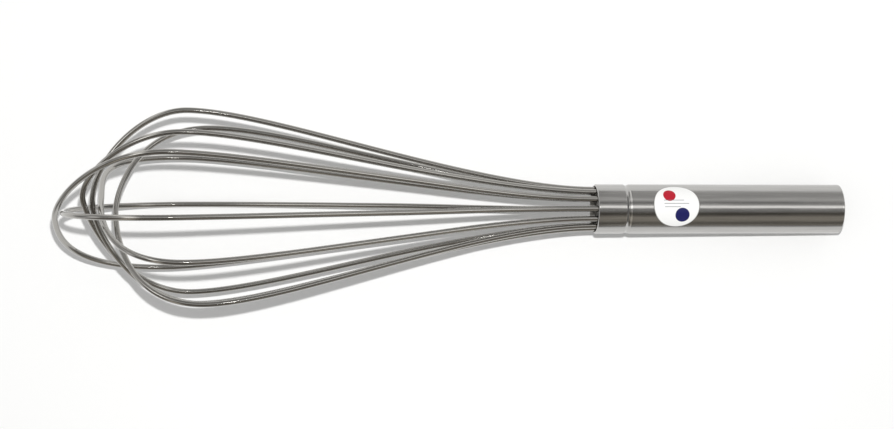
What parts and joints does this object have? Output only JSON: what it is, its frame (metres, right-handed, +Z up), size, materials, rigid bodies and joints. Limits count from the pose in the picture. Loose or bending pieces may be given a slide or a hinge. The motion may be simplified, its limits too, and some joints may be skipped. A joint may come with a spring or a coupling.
{
  "type": "balloon whisk",
  "caption": "Balloon whisk with nested round wire loops seated in a plain round steel handle, lying on its side as on a table.",
  "frame": {"origin": "on the table, at the middle of the footprint of the whisk as it lies", "axes": "+X along the whisk from the loops to the tail of the handle, +Y across it, +Z up from the table; the whisk's own axis rises 6.7 degrees from the tail to the loops, because it rests on the tail's rim and on its lowest wire"},
  "size_m": [0.35, 0.0864, 0.0879],
  "materials": {
    "handle_steel": "drawn stainless tube, finely brushed along its length",
    "wire_steel": "cold-drawn stainless spring wire, polished",
    "seat_steel": "turned, matt",
    "seal_resin": "cast dark resin",
    "label_film": "white printed film sticker with a plain red and blue pattern"
  },
  "bodies": {
    "root": {"handle_tube": "handle_steel", "tail_cap": "handle_steel", "wire_seat": "seat_steel", "seal_plug": "seal_resin", "label": "label_film", "wire_loop_1": "wire_steel", "wire_loop_2": "wire_steel", "wire_loop_3": "wire_steel", "wire_loop_4": "wire_steel", "wire_loop_5": "wire_steel", "wire_loop_6": "wire_steel"}
  },
  "joints": []
}
